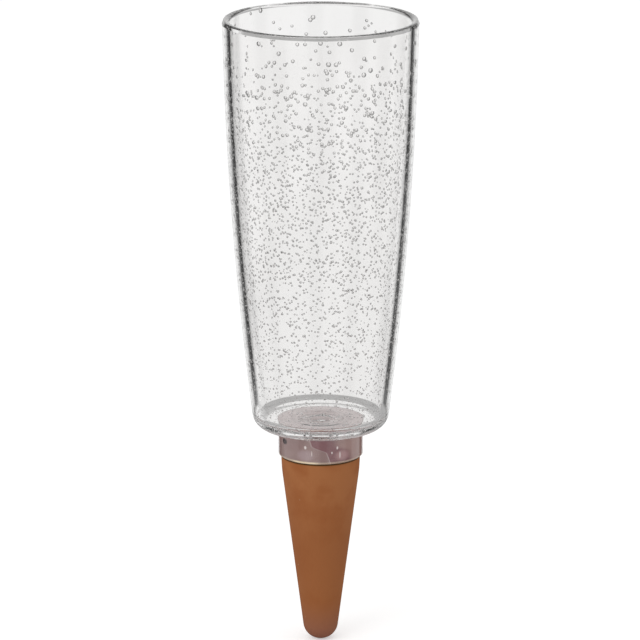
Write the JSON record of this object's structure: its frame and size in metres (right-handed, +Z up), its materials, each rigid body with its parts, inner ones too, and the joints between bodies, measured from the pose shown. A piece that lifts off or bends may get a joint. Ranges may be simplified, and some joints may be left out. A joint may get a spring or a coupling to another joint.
{
  "type": "self watering spike",
  "caption": "Tall open cup of clear bubbled plastic on a hollow terracotta cone: pushed into a pot, it lets its water seep through the clay into the soil.",
  "frame": {"origin": "on the axis of the cone and cup, at the collar's lower edge, where the soil comes up to", "axes": "+Z up the axis to the cup's rim, with the cone's tip at -Z. The object is round, so +X and +Y are free"},
  "size_m": [0.1, 0.1, 0.3293],
  "materials": {
    "bubbled_plastic": "clear, with bubbles in the wall",
    "clear_plastic": "clear",
    "adhesive": "milky, translucent",
    "terracotta": "matt, unglazed"
  },
  "bodies": {
    "root": {"reservoir_cup": "bubbled_plastic", "socket_collar": "clear_plastic", "bedding_ring": "adhesive", "neck_adhesive": "adhesive", "clay_cone": "terracotta"}
  },
  "joints": []
}
